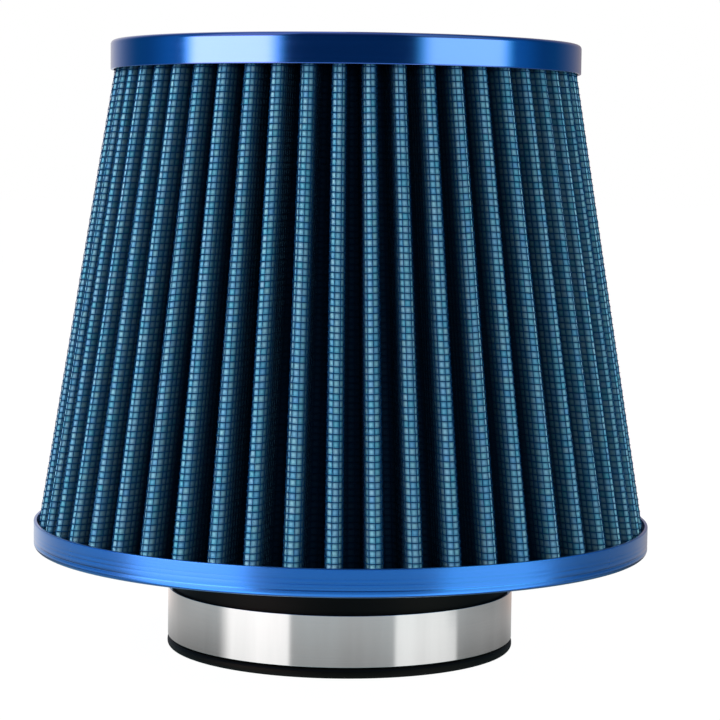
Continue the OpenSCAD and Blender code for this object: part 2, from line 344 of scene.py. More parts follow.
def makeFloor():
    material = bpy.data.materials.new("paleFloor")
    material.use_nodes = True
    tree = material.node_tree
    tree.nodes.clear()
    flow = Flow(tree)
    lit = flow.add("ShaderNodeBsdfDiffuse", {"Color": (studio["floorLit"],) * 3 + (1,)})
    glow = flow.add("ShaderNodeEmission", {"Strength": studio["floorGlow"]})
    shown = flow.add("ShaderNodeAddShader", {0: lit, 1: glow})
    plain = flow.add("ShaderNodeBsdfDiffuse", {"Color": studio["floorFill"] + (1,)})
    ray = flow.add("ShaderNodeLightPath", out="Is Camera Ray")
    both = flow.add("ShaderNodeMixShader", {0: ray, 1: plain, 2: shown})
    flow.add("ShaderNodeOutputMaterial", {"Surface": both})
    size = studio["floorSize"]
    corners = [(-size, -size, 0), (size, -size, 0), (size, size, 0), (-size, size, 0)]
    floor = linked("floor", newMesh("floor", corners, [(0, 1, 2, 3)], material))
    floor.visible_glossy = False  # the polished metal shows the soft boxes down to its lower edge


def makeLamp(name, lamp):  # lights the cloth; the metal shows only the soft boxes
    data = bpy.data.lights.new(name, "AREA")
    data.energy = lamp["watts"]
    data.color = lamp["colour"]
    data.size = lamp["size"]
    light = linked(name, data)
    place = Vector(lamp["place"])
    facing = (Vector(lamp["aim"]) - place).to_track_quat("-Z", "Y")
    light.matrix_world = Matrix.Translation(place) @ facing.to_matrix().to_4x4()
    light.visible_glossy = False
    light.visible_camera = False


makeWorld()
makeFloor()
for lampName, lampSettings in lamps.items():
    makeLamp(lampName, lampSettings)
print("studio lit")


# finishes

def objectSpot(flow):
    return flow.add("ShaderNodeTexCoord", out="Object")


def turnedLines(flow, along, across):  # streaks round the axis, as spinning leaves them
    x, y, z = flow.split(objectSpot(flow))
    radius = x.sum("SQRT", x * x + y * y)
    return flow.noise(flow.join(x * along, y * along, (z + radius) * across), 1.0, 3.0, 0.6)


blueMetal = {
    "cloud": 45.0,  # scale of the patches
    "lines": (14.0, 2600.0),  # scale of the turned lines, along and across
    "lineDepth": 0.02 * mm,
    "lineRough": 0.1,
    "cloudRough": 0.04,
    "coatIor": 1.6,
    "polishedBlue": {
        "deep": (0.08, 0.165, 0.60, 1), "bright": (0.105, 0.215, 0.73, 1),
        "roughness": 0.14, "coat": 0.9, "coatRoughness": 0.1, "relief": 0.03,
    },
    "satinBlue": {
        "deep": (0.010, 0.195, 0.72, 1), "bright": (0.024, 0.275, 0.92, 1),
        "roughness": 0.21, "coat": 1.0, "coatRoughness": 0.28, "relief": 0.3,
    },
}


def anodised(name):
    look = blueMetal[name]

    def varying(flow):
        cloud = flow.noise(objectSpot(flow), blueMetal["cloud"], 3.0)
        streak = turnedLines(flow, *blueMetal["lines"])
        uneven = (streak - 0.5) * blueMetal["lineRough"] + (cloud - 0.5) * blueMetal["cloudRough"]
        return {
            "Base Color": flow.blendColours(cloud * 0.5 + streak * 0.5, look["deep"], look["bright"]),
            "Roughness": look["roughness"] + uneven,
            "Normal": flow.bump(streak, look["relief"], blueMetal["lineDepth"]),
        }

    constants = {"Metallic": 1.0, "Coat Weight": look["coat"], "Coat Roughness": look["coatRoughness"],
                 "Coat IOR": blueMetal["coatIor"]}
    return makeFinish(name, constants, varying)


cottonLook = {
    "teal": (0.046, 0.60, 0.84, 1),
    "blue": (0.10, 0.45, 0.93, 1),
    "pale": (0.58, 0.92, 1.0, 1),
    "gap": (0.006, 0.105, 0.23, 1),
    "fold": (0.0006, 0.011, 0.036, 1),  # painted shade, deep in a pleat
    "sheen": (0.3, 0.7, 1.0, 1),
    "sheenWeight": 0.22,
    "sheenRoughness": 0.3,
    "specular": 0.2,
    "threads": 4,  # in a cell of the screen
    "tintShift": (7.3, 2.1, 5.5),  # keeps a cell's tint apart from its paleness
    "cloud": 0.35,
    "paleShares": (0.42, 0.12, 0.34),  # by chance, in clouds, and a painted highlight in the middle of a cell
    "gapShares": (0.22, 0.42),  # between threads, and painted shade at the edge of a cell
    "flank": (0.0, 0.1, 0.0, 0.62),  # painted shade: from and to which depth in a pleat the colour darkens, and how far
    # painted shade again, darker still towards the valley
    "valley": (0.06, 0.46, 0.0, 0.95),
    "roughness": 0.86,
    "cloudRough": 0.1,
    "softRelief": 0.4,  # of threads and clouds, beside that of a cell
    "relief": 0.5,
    "depth": 0.2 * mm,
}


def cottonFinish():
    look = cottonLook

    def varying(flow):
        u, v, _ = flow.split(flow.add("ShaderNodeUVMap", uv_map="cells"))
        deep = flow.add("ShaderNodeAttribute", out="Fac", attribute_name="deep")
        threads = math.pi * look["threads"]
        warp, weft = u.sum("SINE", u * threads), v.sum("SINE", v * threads)
        over = u.sum("GREATER_THAN", warp * weft, 0.0)
        weave = over * abs(warp) + (1 - over) * abs(weft)
        # a cell's puff: raised, painted lighter in its middle and painted darker at its edges by the wires
        pillow = abs(u.sum("COSINE", u * math.pi)) * abs(v.sum("SINE", v * math.pi))
        cell = flow.join(u.sum("FLOOR", u + 0.5), v.sum("FLOOR", v), 0.0)
        chance, tint = (
            flow.add("ShaderNodeTexWhiteNoise", {"Vector": spot}, "Value", noise_dimensions="3D")
            for spot in (cell, added(flow, cell, look["tintShift"])))
        cloud = flow.noise(flow.join(u, v, 0.0), look["cloud"], 3.0)
        hue = flow.blendColours(tint, look["teal"], look["blue"])
        byChance, byCloud, byPaintedHighlight = look["paleShares"]
        pale = flow.blendColours(chance * byChance + cloud * byCloud + pillow * byPaintedHighlight, hue, look["pale"])
        byThread, byPaintedEdgeShade = look["gapShares"]
        thread = flow.blendColours((1 - weave) * byThread + (1 - pillow) * byPaintedEdgeShade, pale, look["gap"])
        # painted shade: the colour darkens down the flanks and into the valleys of the pleats
        side = flow.ease(deep, *look["flank"])
        dark = side + (1 - side) * flow.ease(deep, *look["valley"])
        height = weave * look["softRelief"] + pillow + cloud * look["softRelief"]
        return {
            "Base Color": flow.blendColours(dark, thread, look["fold"]),
            "Roughness": look["roughness"] + cloud * look["cloudRough"],
            "Normal": flow.bump(height, look["relief"], look["depth"]),
        }

    constants = {"Specular IOR Level": look["specular"], "Sheen Weight": look["sheenWeight"],
                 "Sheen Roughness": look["sheenRoughness"], "Sheen Tint": look["sheen"]}
    return makeFinish("oiledCotton", constants, varying)


castLook = {
    "mouldedRubber": {
        "dark": (0.003, 0.0027, 0.0025, 1), "light": (0.0065, 0.006, 0.0055, 1),
        "specular": 0.1, "specularTint": (1.0, 0.85, 0.72, 1),
        "fine": (2400.0, 3.0, 0.7), "broad": (70.0, 4.0),  # scale, detail and roughness of the grain
        "roughness": (0.36, 0.16, 0.08),  # at least, and what the broad and the fine grain add
        "relief": 0.25, "broadRelief": 0.0, "depth": 0.04 * mm,
    },
    "castSealant": {
        "dark": (0.010, 0.011, 0.012, 1), "light": (0.026, 0.027, 0.03, 1),
        "specular": 0.45, "specularTint": (1, 1, 1, 1),
        "fine": (900.0, 2.0), "broad": (55.0, 3.0),
        "roughness": (0.42, 0.25, 0.0),
        "relief": 0.35, "broadRelief": 2.0, "depth": 0.15 * mm,
    },
}


def castFinish(name):
    look = castLook[name]

    def varying(flow):
        spot = objectSpot(flow)
        fine, broad = flow.noise(spot, *look["fine"]), flow.noise(spot, *look["broad"])
        least, byBroad, byFine = look["roughness"]
        return {
            "Base Color": flow.blendColours(broad, look["dark"], look["light"]),
            "Roughness": least + broad * byBroad + fine * byFine,
            "Normal": flow.bump(fine + broad * look["broadRelief"], look["relief"], look["depth"]),
        }

    constants = {"Specular IOR Level": look["specular"], "Specular Tint": look["specularTint"]}
    return makeFinish(name, constants, varying)


steelLook = {
    "lines": (25.0, 3800.0),  # scale of the rolled lines, along and across
    "lineDepth": 0.01 * mm,
    "lineRough": 0.06,
    "smears": (130.0, 12.0),  # scale of the upright smears of polishing, round and up
    "smearEdges": (0.3, 0.7),
    "smearRough": 0.05,
    "shares": (0.75, 0.25),  # of smears and lines in the shade
    "darkest": 0.84,
    "rolledStainless": {"shade": (0.66, 0.66, 0.655), "roughness": 0.10, "relief": 0.08},
    "platedScrew": {"shade": (0.70, 0.69, 0.66), "roughness": 0.2, "relief": 0.2},
}


def steelFinish(name):
    look = steelLook[name]

    def varying(flow):
        x, y, z = flow.split(objectSpot(flow))
        roll = turnedLines(flow, *steelLook["lines"])
        around, up = steelLook["smears"]
        smear = flow.noise(flow.join(x * around, y * around, z * up), 1.0, 3.0)
        smearShare, rollShare = steelLook["shares"]
        shine = flow.ease(smear, *steelLook["smearEdges"]) * smearShare + roll * rollShare
        dark = tuple(c * steelLook["darkest"] for c in look["shade"]) + (1,)
        uneven = (roll - 0.5) * steelLook["lineRough"] + (smear - 0.5) * steelLook["smearRough"]
        return {
            "Base Color": flow.blendColours(shine, dark, look["shade"] + (1,)),
            "Roughness": look["roughness"] + uneven,
            "Normal": flow.bump(roll, look["relief"], steelLook["lineDepth"]),
        }

    return makeFinish(name, {"Metallic": 1.0}, varying)


finishes = {
    "polishedBlue": anodised("polishedBlue"),
    "satinBlue": anodised("satinBlue"),
    "cotton": cottonFinish(),
    "rubber": castFinish("mouldedRubber"),
    "sealant": castFinish("castSealant"),
    "strip": steelFinish("rolledStainless"),
    "plated": steelFinish("platedScrew"),
}
print("finishes made:", len(finishes))


# mesh helpers

mergeDistance = 0.001 * mm


def addPiece(name, mesh, body, slot, *nodes):
    return declare(linked(name, mesh), body, slot, *nodes)


def declare(piece, body, slot, *nodes):
    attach(piece, body)
    if nodes:
        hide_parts(*nodes)
    return piece


def arc(centre, radius, start, end, steps=6):
    angles = np.radians(np.linspace(start, end, steps + 1))
    return [(centre[0] + radius * math.cos(a), centre[1] + radius * math.sin(a)) for a in angles]


def tidyMesh(mesh, sharpAngle):
    bm = bmesh.new()
    bm.from_mesh(mesh)
    bmesh.ops.remove_doubles(bm, verts=bm.verts, dist=mergeDistance)
    bmesh.ops.recalc_face_normals(bm, faces=bm.faces)
    bm.to_mesh(mesh)
    bm.free()
    return smoothed(mesh, sharpAngle)


def smoothed(mesh, sharpAngle):
    mesh.shade_smooth()
    mesh.set_sharp_from_angle(angle=math.radians(sharpAngle))
    return mesh


def turnOutline(name, outline, steps, material, sharpAngle=40):  # a closed outline of (radius, height)
    count = len(outline)
    angles = np.linspace(0, 2 * math.pi, steps, endpoint=False)
    verts = [(r * math.cos(a), r * math.sin(a), z) for a in angles for r, z in outline]
    faces = []
    for i in range(steps):
        near, far = i * count, (i + 1) % steps * count
        for j in range(count):
            k = (j + 1) % count
            if max(outline[j][0], outline[k][0]) > 0:
                faces.append((near + j, far + j, far + k, near + k))
    return tidyMesh(newMesh(name, verts, faces, material), sharpAngle)


def settled(piece):  # turns a piece's modifiers into a plain mesh
    graph = bpy.context.evaluated_depsgraph_get()
    mesh = bpy.data.meshes.new_from_object(piece.evaluated_get(graph), depsgraph=graph)
    mesh.name = piece.name
    piece.modifiers.clear()
    piece.data = mesh
    return piece


# cap and pan, drawn from sheet

sheetMetal = {
    "thick": 0.7 * mm,
    "bend": 1.0 * mm,  # outside radius of a bend
    "rim": 0.18 * mm,  # radius of a rim's outer edge
    "flat": 0.2 * mm,  # from a rounding to the row that keeps the wall straight
    "land": 6.0 * mm,
    "panelDrop": 2.0 * mm,
    "lines": (  # height, depth and half width of the faint grooves round the pan
        (1.75 * mm, 0.030 * mm, 0.34 * mm),
        (3.1 * mm, 0.011 * mm, 0.26 * mm),
        (4.1 * mm, 0.007 * mm, 0.22 * mm),
    ),
    "steps": 288,
}


def capSide(outer, top, offset):  # one face of the sheet, from the top corner to the centre
    bend, thick = sheetMetal["bend"], sheetMetal["thick"]
    mid = bend - thick / 2
    panel = top - sheetMetal["panelDrop"]
    landEnd = (outer - sheetMetal["land"], top - bend)
    bendHeight = panel + bend - thick
    panelEnd = (landEnd[0] - (landEnd[1] - bendHeight) - 4 * mid * math.sin(math.pi / 4), bendHeight)
    return (arc((outer - bend, top - bend), mid + offset, 0, 90, 8)
            + arc(landEnd, mid + offset, 90, 135) + arc(panelEnd, mid - offset, -45, -90)
            + [(0.0, panel - thick / 2 + offset)])


def makeCap():
    low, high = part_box("top_cap")
    outer, rim, flat = high.x, sheetMetal["rim"], sheetMetal["flat"]
    half = sheetMetal["thick"] / 2
    wall = [(outer, low.z + rim + flat), (outer, high.z - sheetMetal["bend"] - flat)]
    outline = ([(outer - 2 * half, low.z)] + arc((outer - rim, low.z + rim), rim, -90, 0) + wall
               + capSide(outer, high.z, half) + capSide(outer, high.z, -half)[::-1])
    mesh = turnOutline("cap_shell", outline, sheetMetal["steps"], finishes["polishedBlue"])
    addPiece("cap_shell", mesh, "filter", "blue_aluminium", "top_cap")


def groove(outer, height, deep, half):
    shares = np.linspace(-1, 1, 7)
    return [(outer - deep * (1 - s * s) ** 2, height + half * s) for s in shares]


def makePan():
    low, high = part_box("base_pan")
    outer, rim, bend, thick = high.x, sheetMetal["rim"], sheetMetal["bend"], sheetMetal["thick"]
    corner = (outer - bend, low.z + bend)
    hole = neckShape["bore"] / 2 + neckShape["wall"]
    flat = sheetMetal["flat"]
    grooves = []
    for up, deep, half in sheetMetal["lines"]:
        grooves += groove(outer, low.z + up, deep, half)
    outline = ([(hole, low.z)] + arc(corner, bend, -90, 0, 8) + [(outer, low.z + bend + flat / 4)] + grooves
               + [(outer, high.z - rim - flat)] + arc((outer - rim, high.z - rim), rim, 0, 90)
               + [(outer - thick, high.z)] + arc(corner, bend - thick, 0, -90) + [(hole, low.z + thick)])
    mesh = turnOutline("pan_shell", outline, sheetMetal["steps"], finishes["satinBlue"])
    addPiece("pan_shell", mesh, "filter", "blue_aluminium", "base_pan")


# rubber neck

neckShape = {
    "bore": 76.0 * mm,
    "wall": 3.3 * mm,
    "lipHeight": 2.4 * mm,
    "lipProud": 1.1 * mm,
    "lipRound": 1.0 * mm,
    "mouth": 0.8 * mm,
    "collar": 4.0 * mm,
    "collarThick": 1.6 * mm,
    "fillet": 1.5 * mm,
    "flange": 5.0 * mm,
    "bell": 1.5 * mm,
    "steps": 256,
}


def makeNeck():
    shape = neckShape
    low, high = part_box("neck_boot")
    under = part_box("base_pan")[0].z
    bore = shape["bore"] / 2
    wall = bore + shape["wall"]
    lip, rounding, fillet = wall + shape["lipProud"], shape["lipRound"], shape["fillet"]
    collarLow = under - shape["collarThick"]
    collar, flange = wall + shape["collar"], wall + shape["flange"]
    over = under + sheetMetal["thick"]
    outline = ([(bore, low.z + shape["mouth"]), (bore + shape["mouth"], low.z)]
               + arc((lip - rounding, low.z + rounding), rounding, -90, 0)
               + arc((lip - rounding, low.z + shape["lipHeight"] - rounding), rounding, 0, 90)
               + [(wall, low.z + shape["lipHeight"])]
               + arc((wall + fillet, collarLow - fillet), fillet, 180, 90)
               + [(collar, collarLow), (collar, under), (wall, under)]
               + [(wall, over), (flange, over), (flange, high.z)]
               + arc((bore + shape["bell"], high.z - shape["bell"]), shape["bell"], 90, 180))
    mesh = turnOutline("rubber_boot", outline, shape["steps"], finishes["rubber"])
    addPiece("rubber_boot", mesh, "filter", "neck_rubber", "neck_boot")


makeCap()
makePan()
makeNeck()
print("cap, pan and neck turned")


# pleats: cotton between two wire screens, all on one folded line

pleats = {
    "count": 52,
    "depth": 13.0 * mm,
    "foldBore": (0.55 * mm, 0.15 * mm),  # inside the outer folds, at the pan and at the cap
    "turn": -1.4,  # degrees
    "stack": 1.5 * mm,  # thickness of the three layers
    "foldGap": 0.15 * mm,  # between the folds and the rims
    "twist": 0.45,  # degrees that the pack leans from cap to pan
    "spread": 1.25,  # degrees that the folds are wider apart at the front
    "wander": ((9, 0.12, 23), (15, 0.10, 115), (23, 0.08, 235)),  # waves round, their turn and phase
    "lineSteps": (10, 8, 1),  # points round a tip, round a valley and along a flank
    "cotton": 0.8 * mm,
    "cottonSteps": (10, 8, 5),
    "cottonRows": 30,
    "sharpAngle": 50,
}


def pleatHeights():
    low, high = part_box("cotton_gauze")
    return low.z, high.z


def pleatRadii():  # fold radius at the lower and the upper end
    inset = sheetMetal["thick"] + pleats["foldGap"]
    foot, head = pleatHeights()
    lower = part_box("base_pan")[1].x - inset
    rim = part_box("top_cap")[1].x - inset
    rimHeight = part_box("top_cap")[0].z
    slope = (lower - rim) / (rimHeight - foot)
    return lower, rim - slope * (head - rimHeight)


def foldedLine(end, offset, tipSteps, valleySteps, flankSteps):  # closed loop of x, y at the pan or the cap
    fold, bore = pleatRadii()[end], pleats["foldBore"][end]
    half = math.pi / pleats["count"]
    mid = bore + pleats["stack"] / 2
    tip = fold - bore - pleats["stack"]
    valley = (fold - pleats["depth"] + pleats["stack"] / 2 - mid) / (1 - math.sin(half))
    dip = valley * math.sin(half) - mid
    halfDeg = math.degrees(half)
    crown = np.array(arc((tip, 0), mid + offset, -90, 90, tipSteps))
    hollow = np.array(arc((valley, 0), dip - offset, -90 - halfDeg, halfDeg - 270, valleySteps))
    hollow = turned(hollow, half)
    away = stepsBetween(crown[-1], hollow[0], flankSteps)
    back = stepsBetween(hollow[-1], turned(crown[:1], 2 * half)[0], flankSteps)
    one = np.vstack([crown, away, hollow, back])
    first = math.radians(pleats["turn"] - 90)
    return gathered(np.vstack([turned(one, first + 2 * half * i) for i in range(pleats["count"])]), end)


def gathered(points, end):  # shifted round, as the real folds stand unevenly
    angle = np.arctan2(points[:, 0], -points[:, 1])
    shift = pleats["twist"] * (0.5 - end) + pleats["spread"] * np.sin(angle)
    for waves, size, phase in pleats["wander"]:
        shift += size * np.sin(waves * angle + math.radians(phase))
    angle += np.radians(shift)
    radius = np.linalg.norm(points, axis=1)
    return np.column_stack([radius * np.sin(angle), -radius * np.cos(angle)])


def turned(points, angle):
    c, s = math.cos(angle), math.sin(angle)
    return points @ np.array([[c, s], [-s, c]])


def stepsBetween(start, end, steps):  # points strictly between two ends
    shares = np.linspace(0, 1, steps + 1)[1:-1, None]
    return start + (end - start) * shares


def runLengths(loop):  # distance along a closed loop at each point, and all round
    steps = np.linalg.norm(np.roll(loop, -1, axis=0) - loop, axis=1)
    return np.concatenate([[0], np.cumsum(steps)[:-1]]), steps.sum()


def sheetSize():  # length along the folded line at middle height, and height along the slope
    foot, head = pleatHeights()
    lower, upper = pleatRadii()
    steps = pleats["lineSteps"]
    middle = (foldedLine(0, 0, *steps) + foldedLine(1, 0, *steps)) / 2
    return runLengths(middle)[1], math.hypot(head - foot, lower - upper)


def makeCotton():
    around, slant = sheetSize()
    wires, rings = screenCounts(screens["outer"])
    foot, head = pleatHeights()
    rows, half = pleats["cottonRows"], pleats["cotton"] / 2
    steps = pleats["cottonSteps"]
    over = (foldedLine(0, wireShape["at"], *steps) + foldedLine(1, wireShape["at"], *steps)) / 2
    runs, whole = runLengths(over)
    shares = np.linspace(0, 1, rows)
    skins, depths = [], []
    for offset in (half, -half):
        low, high = foldedLine(0, offset, *steps), foldedLine(1, offset, *steps)
        for share in shares:
            flat = low + (high - low) * share
            skins.append(np.column_stack([flat, np.full(len(flat), foot + (head - foot) * share)]))
            radius = np.linalg.norm(flat, axis=1)
            # depth into a pleat, by which the cotton finish paints shade
            depths.append((radius.max() - radius) / pleats["depth"])
    verts = np.vstack(skins)
    count = len(runs)
    faces, cells = [], []
    uAt = np.append(runs / whole, 1.0) * wires
    vAt = [(share - sagOf(over) * share * (1 - share)) * (rings - 1) for share in shares]

    def quad(corners, uv):
        faces.append(corners)
        cells.extend(uv)

    for i in range(count):
        j = (i + 1) % count
        for k in range(rows - 1):
            outer, inner = k * count, (rows + k) * count
            near, far = uAt[i], uAt[i + 1]
            uv = [(near, vAt[k][i]), (far, vAt[k][j]), (far, vAt[k + 1][j]), (near, vAt[k + 1][i])]
            quad((outer + i, outer + j, outer + count + j, outer + count + i), uv)
            quad((inner + j, inner + i, inner + count + i, inner + count + j), [uv[1], uv[0], uv[3], uv[2]])
        last = (rows - 1) * count
        for row, turn in ((0, 1), (last, -1)):
            ends = (row + i, rows * count + row + i, rows * count + row + j, row + j)
            quad(ends[::turn], [(uAt[i], 0.0)] * 4)
    mesh = newMesh("gauze_sheet", verts.tolist(), faces, finishes["cotton"])
    mesh.uv_layers.new(name="cells").uv.foreach_set("vector", np.array(cells, np.float32).ravel())
    deep = mesh.attributes.new("deep", "FLOAT", "POINT")
    deep.data.foreach_set("value", np.concatenate(depths).astype(np.float32))
    smoothed(mesh, pleats["sharpAngle"])
    sheet = addPiece("gauze_sheet", mesh, "filter", "cotton", "cotton_gauze")
    print("cotton folded:", round(around, 3), "by", round(slant, 4), "m flat")


# wire screens on both sides of the cotton

screens = {
    "outer": {
        "node": "outer_screen", "side": 1, "sides": 4, "parts": 4,
        "foldPitch": 1.44 * mm, "ringPitch": 1.472 * mm,
    },
    "inner": {
        "node": "inner_screen", "side": -1, "sides": 3, "parts": 2,
        "foldPitch": 2.9 * mm, "ringPitch": 2.9 * mm,
    },
}
wireShape = {
    "at": 0.6 * mm,  # middle of a screen, out from the middle of the stack
    "ring": 0.23 * mm,
    "fold": 0.165 * mm,
    "weave": 0.08 * mm,
    "steps": (6, 5, 2),  # points round a tip, round a valley and along a flank
    "waves": ((3, 0.016, 0.6), (7, 0.012, 2.1), (17, 0.008, 0.0)),  # of the rings: number, size and phase
}
enamelLook = {
    "dark": (0.001, 0.04, 0.125, 1),
    "light": (0.003, 0.075, 0.23, 1),
    # painted shade, deep in a pleat
    "fold": (0.0004, 0.006, 0.02, 1),
    "valley": (0.06, 0.46, 0.0, 0.9),  # painted shade: from and to which depth in a pleat the colour darkens, and how far
    "cloud": 900.0,
    "roughness": 0.42,
    "cloudRough": 0.2,
    "specular": 0.15,
}


def enamelFinish():
    look = enamelLook
    lower, upper = pleatRadii()
    foot, head = pleatHeights()

    def varying(flow):
        spot = objectSpot(flow)
        x, y, z = flow.split(spot)
        cloud = flow.noise(spot, look["cloud"])
        # painted shade: the wires darken with depth into a pleat
        tip = lower + (z - foot) * ((upper - lower) / (head - foot))
        deep = (tip - x.sum("SQRT", x * x + y * y)) / pleats["depth"]
        unshadedWire = flow.blendColours(cloud, look["dark"], look["light"])
        return {
            "Base Color": flow.blendColours(flow.ease(deep, *look["valley"]), unshadedWire, look["fold"]),
            "Roughness": look["roughness"] + cloud * look["cloudRough"],
        }

    return makeFinish("wireEnamel", {"Specular IOR Level": look["specular"]}, varying)


finishes["enamel"] = enamelFinish()


def screenCounts(screen):
    around, slant = sheetSize()
    parts = screen["parts"]
    return parts * round(around / screen["foldPitch"] / parts), round(slant / screen["ringPitch"]) + 1


def newTree(name, inputs):
    tree = bpy.data.node_groups.new(name, "GeometryNodeTree")
    tree.interface.new_socket("Geometry", in_out="INPUT", socket_type="NodeSocketGeometry")
    keys = {}
    for label, kind in inputs.items():
        socket = tree.interface.new_socket(label, in_out="INPUT", socket_type="NodeSocket" + kind)
        keys[label] = socket.identifier
    tree.interface.new_socket("Geometry", in_out="OUTPUT", socket_type="NodeSocketGeometry")
    flow = Flow(tree)
    return tree, flow, flow.add("NodeGroupInput"), keys


def tubeAlong(flow, curve, sides, radius):
    profile = flow.add("GeometryNodeCurvePrimitiveCircle", {"Resolution": sides, "Radius": radius})
    return flow.add("GeometryNodeCurveToMesh", {"Curve": curve, "Profile Curve": profile, "Fill Caps": True})


def endTree(flow, shape, group):
    real = flow.add("GeometryNodeRealizeInstances", {"Geometry": shape})
    done = flow.add("GeometryNodeSetMaterial", {"Geometry": real, "Material": group.also("Material")})
    flow.add("NodeGroupOutput", {"Geometry": done})


def runTree(piece, tree, keys, values):
    modifier = piece.modifiers.new(tree.name, "NODES")
    modifier.node_group = tree
    for label, value in values.items():
        modifier[keys[label]] = value
    return settled(piece)


def wireMesh(flow, curve, group):  # round wire along every curve
    tube = tubeAlong(flow, curve, group.also("Sides"), group.also("Radius"))
    endTree(flow, flow.add("GeometryNodeSetShadeSmooth", {"Geometry": tube}), group)


def namedField(flow, name, kind="FLOAT_VECTOR"):
    return flow.add("GeometryNodeInputNamedAttribute", {"Name": name}, data_type=kind)


def ringTree():  # wires round the pleats, one above another
    inputs = {"First": "Int", "Rings": "Int", "Rows": "Int",
              "Radius": "Float", "Sides": "Int", "Material": "Material"}
    tree, flow, group, keys = newTree("screenRings", inputs)
    curve = flow.add("GeometryNodeMeshToCurve", {0: group})
    copies = flow.add("GeometryNodeDuplicateElements", {"Geometry": curve, "Amount": group.also("Rings")},
                      domain="SPLINE")
    share = (copies.also("Duplicate Index") + group.also("First")) / (group.also("Rows") - 1)
    sag = namedField(flow, "sag", "FLOAT") * share * (1 - share)
    placed = flow.add("GeometryNodeSetPosition", {
        "Geometry": copies, "Offset": scaled(flow, namedField(flow, "lift"), share - 0.5 + sag)})
    wireMesh(flow, placed, group)
    return tree, keys


def foldWireTree():  # wires along the folds, passing over and under the rings
    inputs = {"First": "Int", "Wires": "Int", "All Wires": "Int", "Rows": "Int", "Weave": "Float",
              "Radius": "Float", "Sides": "Int", "Material": "Material"}
    tree, flow, group, keys = newTree("foldWires", inputs)
    loop = flow.add("GeometryNodeMeshToCurve", {0: group})
    rows = group.also("Rows")
    grid = flow.add("GeometryNodeMeshGrid", {"Vertices X": group.also("Wires"), "Vertices Y": rows})
    index = flow.add("GeometryNodeInputIndex")
    wire = index.sum("FLOOR", (index + 0.5) / rows)
    row = index - wire * rows
    at = (wire + group.also("First") + 0.5) / group.also("All Wires")

    def sample(kind, field):
        return flow.add("GeometryNodeSampleCurve", {"Curves": loop, "Factor": at, "Value": field},
                        data_type=kind, use_all_curves=True)

    lifted = sample("FLOAT_VECTOR", namedField(flow, "lift"))
    outward = sample("FLOAT_VECTOR", namedField(flow, "out"))
    share = row / (rows - 1)
    sag = sample("FLOAT", namedField(flow, "sag", "FLOAT")) * share * (1 - share)
    crimp = (1 - ((wire + group.also("First") + row) % 2) * 2) * group.also("Weave")
    along = scaled(flow, lifted, share - 0.5 + sag)
    spot = added(flow, lifted.also("Position"), added(flow, along, scaled(flow, outward, crimp)))
    placed = flow.add("GeometryNodeSetPosition", {"Geometry": grid, "Position": spot})
    ends = flow.add("GeometryNodeInputMeshEdgeVertices")
    apart = abs(ends - ends.also("Vertex Index 2"))
    across = apart.sum("GREATER_THAN", apart, 1.5)  # from one wire to the next, not along one
    lines = flow.add("GeometryNodeDeleteGeometry", {"Geometry": placed, "Selection": across},
                     domain="EDGE", mode="EDGE_FACE")
    wireMesh(flow, flow.add("GeometryNodeMeshToCurve", {0: lines}), group)
    return tree, keys


def sagOf(loop):  # how far the rings wave at half height, as a share of four times the height
    angle = np.arctan2(loop[:, 1], loop[:, 0])
    return sum(size * np.sin(waves * angle + phase) for waves, size, phase in wireShape["waves"])


def screenLoop(side):  # the folded line at middle height, with its lift to both ends
    foot, head = pleatHeights()
    low, high = (foldedLine(end, side * wireShape["at"], *wireShape["steps"]) for end in (0, 1))
    middle = (low + high) / 2
    count = len(middle)
    mesh = bpy.data.meshes.new("foldedLine")
    verts = np.column_stack([middle, np.full(count, (foot + head) / 2)])
    mesh.from_pydata(verts.tolist(), [(i, (i + 1) % count) for i in range(count)], [])
    along = np.roll(middle, -1, axis=0) - np.roll(middle, 1, axis=0)
    along = along / np.linalg.norm(along, axis=1)[:, None]
    fields = {
        "lift": np.column_stack([high - low, np.full(count, head - foot)]),
        "out": np.column_stack([along[:, 1], -along[:, 0], np.zeros(count)]) * side,
    }
    for name, values in fields.items():
        layer = mesh.attributes.new(name, "FLOAT_VECTOR", "POINT")
        layer.data.foreach_set("vector", values.astype(np.float32).ravel())
    mesh.attributes.new("sag", "FLOAT", "POINT").data.foreach_set("value", sagOf(middle).astype(np.float32))
    return mesh


def growWires(name, loop, tree, keys, values, node):
    piece = runTree(linked(name, loop.copy()), tree, keys, values)
    declare(piece, "filter", "screen_wire", node)
    return len(piece.data.polygons)


def makeScreens():
    rings, ringKeys = ringTree()
    folds, foldKeys = foldWireTree()
    for name, screen in screens.items():
        wires, rows = screenCounts(screen)
        loop = screenLoop(screen["side"])
        parts, total = screen["parts"], 0
        shared = {"Rows": rows, "Sides": screen["sides"], "Material": finishes["enamel"]}
        for part in range(parts):
            first, last = rows * part // parts, rows * (part + 1) // parts
            values = dict(shared, First=first, Rings=last - first, Radius=wireShape["ring"] / 2)
            total += growWires(f"{name}_rings_{part + 1}", loop, rings, ringKeys, values, screen["node"])
            some = wires // parts
            values = dict(shared, First=some * part, Wires=some, Radius=wireShape["fold"] / 2)
            values.update({"All Wires": wires, "Weave": wireShape["weave"]})
            total += growWires(f"{name}_fold_wires_{part + 1}", loop, folds, foldKeys, values, screen["node"])
        bpy.data.meshes.remove(loop)
        print(name, "screen woven:", wires, "wires,", rows, "rings,", total, "faces")


makeCotton()
makeScreens()


# hose clamp

